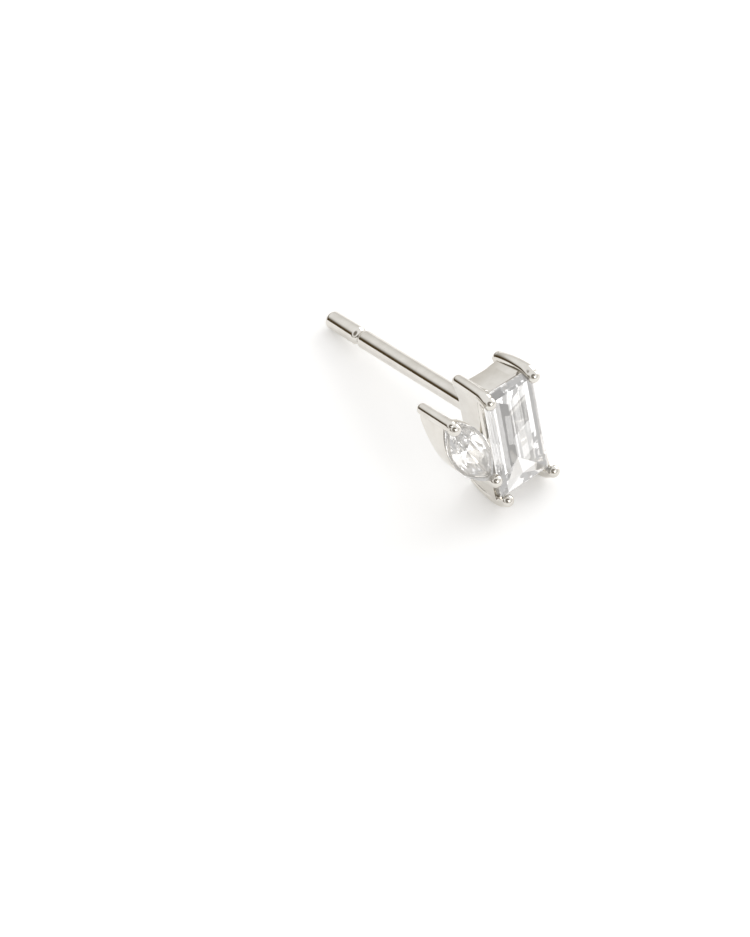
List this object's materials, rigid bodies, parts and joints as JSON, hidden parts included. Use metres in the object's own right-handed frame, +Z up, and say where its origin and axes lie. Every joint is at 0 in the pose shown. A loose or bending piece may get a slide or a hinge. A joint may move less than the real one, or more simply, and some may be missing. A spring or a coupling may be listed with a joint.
{
  "type": "stud earring",
  "caption": "Stud earring in warm white metal: a claw-set baguette stone, a smaller leaning marquise stone and a straight post with a groove for an ear nut.",
  "frame": {"origin": "on the surface the earring lies on, under the middle of its bounding box", "axes": "+Z up from the surface, +Y along the post towards its free end as seen from above, +X across the baguette away from the marquise"},
  "size_m": [0.0048, 0.013, 0.0059],
  "materials": {
    "metal": "polished",
    "stone": "clear"
  },
  "bodies": {
    "root": {"setting": "metal", "baguette_stone": "stone", "marquise_stone": "stone"}
  },
  "joints": []
}
